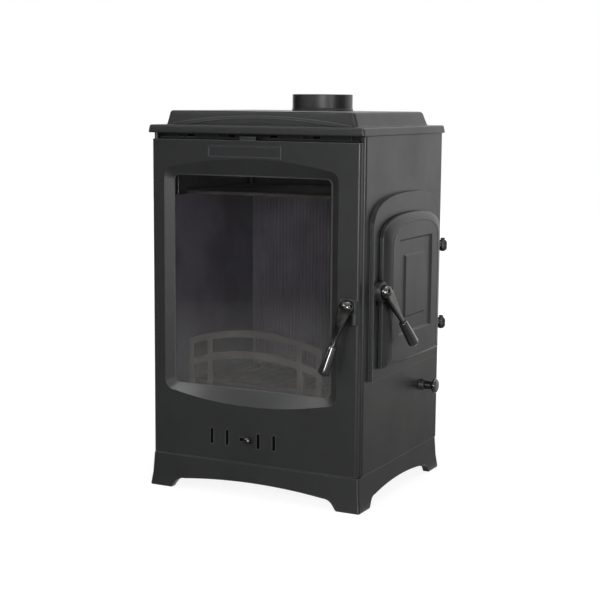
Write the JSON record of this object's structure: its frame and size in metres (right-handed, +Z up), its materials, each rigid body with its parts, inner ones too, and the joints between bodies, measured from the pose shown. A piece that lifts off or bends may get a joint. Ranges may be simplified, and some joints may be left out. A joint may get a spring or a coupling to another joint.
{
  "type": "wood stove",
  "caption": "Free-standing black cast-iron wood stove: glazed hinged front door, arched side loading door, lever latches, sliding air controls and a round top flue collar.",
  "frame": {"origin": "middle of the whole stove's footprint box, handles included, on the floor", "axes": "+Z up; -Y is the front with the glazed door, +Y the back with the flue collar; +X is the side with the loading door"},
  "size_m": [0.53, 0.4588, 0.796],
  "materials": {
    "black_casting": "satin black stove finish over fine sand-cast grain",
    "bare_casting": "bare casting, heat-darkened, matt",
    "firebox_lining": "cast firebox plates with fine upright flutes, matt dark grey",
    "handle_metal": "dark satin plated metal",
    "black_grip": "polished black with sharp highlights",
    "dark_steel": "plain steel, dulled",
    "sheet_steel": "pressed sheet, heat-blued",
    "rope_seal": "knitted glass-fibre rope and flat tape",
    "fire_glass": "clear heat-proof glass ceramic, faint brown tint"
  },
  "bodies": {
    "stove": {"base_casting": "black_casting", "left_side_panel": "black_casting", "right_side_panel": "black_casting", "back_panel": "black_casting", "front_frame": "black_casting", "top_plate": "black_casting", "flue_collar": "black_casting", "flue_collar_bolt_1": "dark_steel", "flue_collar_bolt_2": "dark_steel", "flue_collar_bolt_3": "dark_steel", "tie_bolt_1": "dark_steel", "tie_bolt_2": "dark_steel", "tie_bolt_3": "dark_steel", "tie_bolt_4": "dark_steel", "front_hinge_pin_lower": "dark_steel", "front_hinge_pin_upper": "dark_steel", "front_hinge_washer": "dark_steel", "side_hinge_pin_lower": "dark_steel", "side_hinge_pin_upper": "dark_steel", "left_liner": "firebox_lining", "right_liner": "firebox_lining", "rear_liner": "firebox_lining", "baffle_plate": "bare_casting", "grate_bearer_front": "bare_casting", "grate_bearer_rear": "bare_casting", "log_guard": "bare_casting", "ash_pan": "sheet_steel"},
    "front_door": {"front_door": "black_casting", "front_door_glass": "fire_glass", "front_glass_gasket": "rope_seal", "glass_clip_1": "dark_steel", "glass_clip_2": "dark_steel", "glass_clip_3": "dark_steel", "glass_clip_4": "dark_steel", "front_door_gasket": "rope_seal", "air_slide_retainer_top": "dark_steel", "air_slide_retainer_bottom": "dark_steel"},
    "primary_slide": {"primary_air_slide": "dark_steel", "primary_air_knob": "handle_metal"},
    "front_handle": {"front_handle_arm": "handle_metal", "front_handle_grip": "black_grip", "front_latch_spindle": "dark_steel", "front_latch_tongue": "dark_steel", "front_latch_nut": "dark_steel"},
    "airwash_slide": {"airwash_slide": "black_casting"},
    "side_door": {"side_door": "black_casting", "side_door_gasket": "rope_seal", "side_door_heat_shield": "bare_casting", "heat_shield_screw_1": "dark_steel", "heat_shield_screw_2": "dark_steel"},
    "side_handle": {"side_handle_arm": "handle_metal", "side_handle_grip": "black_grip", "side_latch_spindle": "dark_steel", "side_latch_tongue": "dark_steel", "side_latch_nut": "dark_steel"},
    "riddler": {"riddling_grate": "bare_casting", "riddling_rod": "dark_steel", "riddling_knob": "black_grip"}
  },
  "joints": [
    {"name": "front_door_swing", "type": "hinge", "parent": "stove", "child": "front_door", "pos_m": [-0.25172, -0.17138, 0.388], "axis": [0, 0, -1], "range_deg": [0, 110]},
    {"name": "front_handle_turn", "type": "hinge", "parent": "front_door", "child": "front_handle", "pos_m": [0.17703, -0.18763, 0.4], "axis": [0, 1, 0], "range_deg": [0, 75]},
    {"name": "primary_air_slide_travel", "type": "slide", "parent": "front_door", "child": "primary_slide", "axis": [1, 0, 0], "range_m": [-0.0175, 0]},
    {"name": "airwash_slide_travel", "type": "slide", "parent": "stove", "child": "airwash_slide", "axis": [1, 0, 0], "range_m": [-0.02, 0.02]},
    {"name": "side_door_swing", "type": "hinge", "parent": "stove", "child": "side_door", "pos_m": [0.21603, 0.20237, 0.403], "axis": [0, 0, 1], "range_deg": [0, 110]},
    {"name": "side_handle_turn", "type": "hinge", "parent": "side_door", "child": "side_handle", "pos_m": [0.22323, -0.11963, 0.424], "axis": [1, 0, 0], "range_deg": [0, 55]},
    {"name": "riddling_travel", "type": "slide", "parent": "stove", "child": "riddler", "axis": [1, 0, 0], "range_m": [0, 0.02]}
  ]
}
